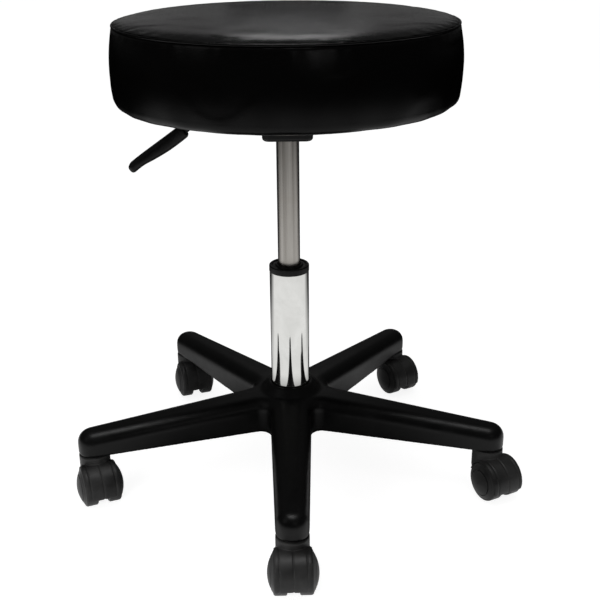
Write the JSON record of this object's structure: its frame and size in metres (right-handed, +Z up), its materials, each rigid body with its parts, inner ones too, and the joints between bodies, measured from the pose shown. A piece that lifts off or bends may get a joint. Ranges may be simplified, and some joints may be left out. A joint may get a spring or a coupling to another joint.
{
  "type": "adjustable swivel stool",
  "caption": "Round padded swivel stool on a gas spring column, with a star base on twin-wheel casters and a side lever that frees its height.",
  "frame": {"origin": "on the column axis at floor level", "axes": "+Z up along the column; -Y along the front arm, towards the viewer; -X towards the lift lever"},
  "size_m": [0.5642, 0.5444, 0.589],
  "materials": {
    "cover_vinyl": "smooth upholstery vinyl, satin",
    "base_nylon": "moulded glass-filled nylon, satin",
    "caster_nylon": "moulded nylon, satin",
    "wheel_nylon": "moulded nylon, satin",
    "bush_plastic": "moulded acetal",
    "handle_plastic": "moulded plastic, fine texture",
    "column_chrome": "bright chromium plate",
    "spring_steel": "ground steel, satin",
    "rod_chrome": "hard chromium plate",
    "zinc_steel": "zinc plated",
    "lever_steel": "black painted steel rod",
    "mechanism_paint": "black powder coat",
    "brass": "machined",
    "rubber": "matte",
    "foam": "open-cell foam",
    "plywood": "birch plywood",
    "dust_cloth": "black non-woven cloth"
  },
  "bodies": {
    "base": {"star_base": "base_nylon", "hub_ring": "zinc_steel", "outer_tube": "column_chrome", "guide_bush": "bush_plastic", "lower_bearing_race": "zinc_steel", "stem_grip_rings": "zinc_steel", "front_caster_stem": "zinc_steel", "right_front_caster_stem": "zinc_steel", "right_rear_caster_stem": "zinc_steel", "left_rear_caster_stem": "zinc_steel", "left_front_caster_stem": "zinc_steel"},
    "spring_rod": {"piston_rod": "rod_chrome", "piston": "bush_plastic", "upper_bearing_race": "zinc_steel", "bearing_balls": "rod_chrome", "ball_cage": "brass", "rubber_bumper": "rubber", "tail_washer": "zinc_steel", "tail_clip": "zinc_steel"},
    "seat": {"pressure_tube": "spring_steel", "rod_guide": "brass", "rod_seal": "rubber", "valve_body": "brass", "mechanism_plate": "mechanism_paint", "mechanism_housing": "mechanism_paint", "cone_socket": "mechanism_paint", "lever_pin": "zinc_steel", "plate_bolts": "zinc_steel", "bolt_washers": "zinc_steel", "tee_nuts": "zinc_steel", "seat_top_panel": "cover_vinyl", "seat_band": "cover_vinyl", "seat_piping": "cover_vinyl", "seat_foam": "foam", "seat_board": "plywood", "dust_cover": "dust_cloth", "cover_staples": "zinc_steel"},
    "lever": {"lever_rod": "lever_steel", "lever_handle": "handle_plastic"},
    "release_button": {"release_button": "zinc_steel"},
    "front_caster": {"front_caster_hood": "caster_nylon", "front_caster_axle": "zinc_steel"},
    "front_left_wheel": {"front_caster_left_wheel": "wheel_nylon"},
    "front_right_wheel": {"front_caster_right_wheel": "wheel_nylon"},
    "right_front_caster": {"right_front_caster_hood": "caster_nylon", "right_front_caster_axle": "zinc_steel"},
    "right_front_left_wheel": {"right_front_caster_left_wheel": "wheel_nylon"},
    "right_front_right_wheel": {"right_front_caster_right_wheel": "wheel_nylon"},
    "right_rear_caster": {"right_rear_caster_hood": "caster_nylon", "right_rear_caster_axle": "zinc_steel"},
    "right_rear_left_wheel": {"right_rear_caster_left_wheel": "wheel_nylon"},
    "right_rear_right_wheel": {"right_rear_caster_right_wheel": "wheel_nylon"},
    "left_rear_caster": {"left_rear_caster_hood": "caster_nylon", "left_rear_caster_axle": "zinc_steel"},
    "left_rear_left_wheel": {"left_rear_caster_left_wheel": "wheel_nylon"},
    "left_rear_right_wheel": {"left_rear_caster_right_wheel": "wheel_nylon"},
    "left_front_caster": {"left_front_caster_hood": "caster_nylon", "left_front_caster_axle": "zinc_steel"},
    "left_front_left_wheel": {"left_front_caster_left_wheel": "wheel_nylon"},
    "left_front_right_wheel": {"left_front_caster_right_wheel": "wheel_nylon"}
  },
  "joints": [
    {"name": "seat_swivel", "type": "hinge", "parent": "base", "child": "spring_rod", "pos_m": [0, 0, 0.06275], "axis": [0, 0, 1], "continuous": true},
    {"name": "seat_lift", "type": "slide", "parent": "spring_rod", "child": "seat", "axis": [0, 0, 1], "range_m": [-0.14, 0]},
    {"name": "lever_lift", "type": "hinge", "parent": "seat", "child": "lever", "pos_m": [-0.021, 0, 0.478], "axis": [0, 1, 0], "range_deg": [0, 8], "stiffness_Nm_per_rad": 3, "springref_deg": -2.86},
    {"name": "button_press", "type": "slide", "parent": "seat", "child": "release_button", "axis": [0, 0, -1], "range_m": [0, 0.003]},
    {"name": "front_caster_swivel", "type": "hinge", "parent": "base", "child": "front_caster", "pos_m": [0, -0.2638, 0.0605], "axis": [0, 0, 1], "continuous": true},
    {"name": "front_left_wheel_roll", "type": "hinge", "parent": "front_caster", "child": "front_left_wheel", "pos_m": [0.00036, -0.2843, 0.025], "axis": [0.9998, 0.0175, 0], "continuous": true},
    {"name": "front_right_wheel_roll", "type": "hinge", "parent": "front_caster", "child": "front_right_wheel", "pos_m": [0.00036, -0.2843, 0.025], "axis": [0.9998, 0.0175, 0], "continuous": true},
    {"name": "right_front_caster_swivel", "type": "hinge", "parent": "base", "child": "right_front_caster", "pos_m": [0.25089, -0.08152, 0.0605], "axis": [0, 0, 1], "continuous": true},
    {"name": "right_front_left_wheel_roll", "type": "hinge", "parent": "right_front_caster", "child": "right_front_left_wheel", "pos_m": [0.2602, -0.09978, 0.025], "axis": [0.891, 0.454, 0], "continuous": true},
    {"name": "right_front_right_wheel_roll", "type": "hinge", "parent": "right_front_caster", "child": "right_front_right_wheel", "pos_m": [0.2602, -0.09978, 0.025], "axis": [0.891, 0.454, 0], "continuous": true},
    {"name": "right_rear_caster_swivel", "type": "hinge", "parent": "base", "child": "right_rear_caster", "pos_m": [0.15506, 0.21342, 0.0605], "axis": [0, 0, 1], "continuous": true},
    {"name": "right_rear_left_wheel_roll", "type": "hinge", "parent": "right_rear_caster", "child": "right_rear_left_wheel", "pos_m": [0.165, 0.19549, 0.025], "axis": [0.8746, 0.4848, 0], "continuous": true},
    {"name": "right_rear_right_wheel_roll", "type": "hinge", "parent": "right_rear_caster", "child": "right_rear_right_wheel", "pos_m": [0.165, 0.19549, 0.025], "axis": [0.8746, 0.4848, 0], "continuous": true},
    {"name": "left_rear_caster_swivel", "type": "hinge", "parent": "base", "child": "left_rear_caster", "pos_m": [-0.15506, 0.21342, 0.0605], "axis": [0, 0, 1], "continuous": true},
    {"name": "left_rear_left_wheel_roll", "type": "hinge", "parent": "left_rear_caster", "child": "left_rear_left_wheel", "pos_m": [-0.14838, 0.19404, 0.025], "axis": [0.9455, 0.3256, 0], "continuous": true},
    {"name": "left_rear_right_wheel_roll", "type": "hinge", "parent": "left_rear_caster", "child": "left_rear_right_wheel", "pos_m": [-0.14838, 0.19404, 0.025], "axis": [0.9455, 0.3256, 0], "continuous": true},
    {"name": "left_front_caster_swivel", "type": "hinge", "parent": "base", "child": "left_front_caster", "pos_m": [-0.25089, -0.08152, 0.0605], "axis": [0, 0, 1], "continuous": true},
    {"name": "left_front_left_wheel_roll", "type": "hinge", "parent": "left_front_caster", "child": "left_front_left_wheel", "pos_m": [-0.24321, -0.10053, 0.025], "axis": [0.9272, 0.3746, 0], "continuous": true},
    {"name": "left_front_right_wheel_roll", "type": "hinge", "parent": "left_front_caster", "child": "left_front_right_wheel", "pos_m": [-0.24321, -0.10053, 0.025], "axis": [0.9272, 0.3746, 0], "continuous": true}
  ],
  "couplings": [
    {"joint": "button_press", "follows": "lever_lift", "m_per_rad": 0.021}
  ]
}
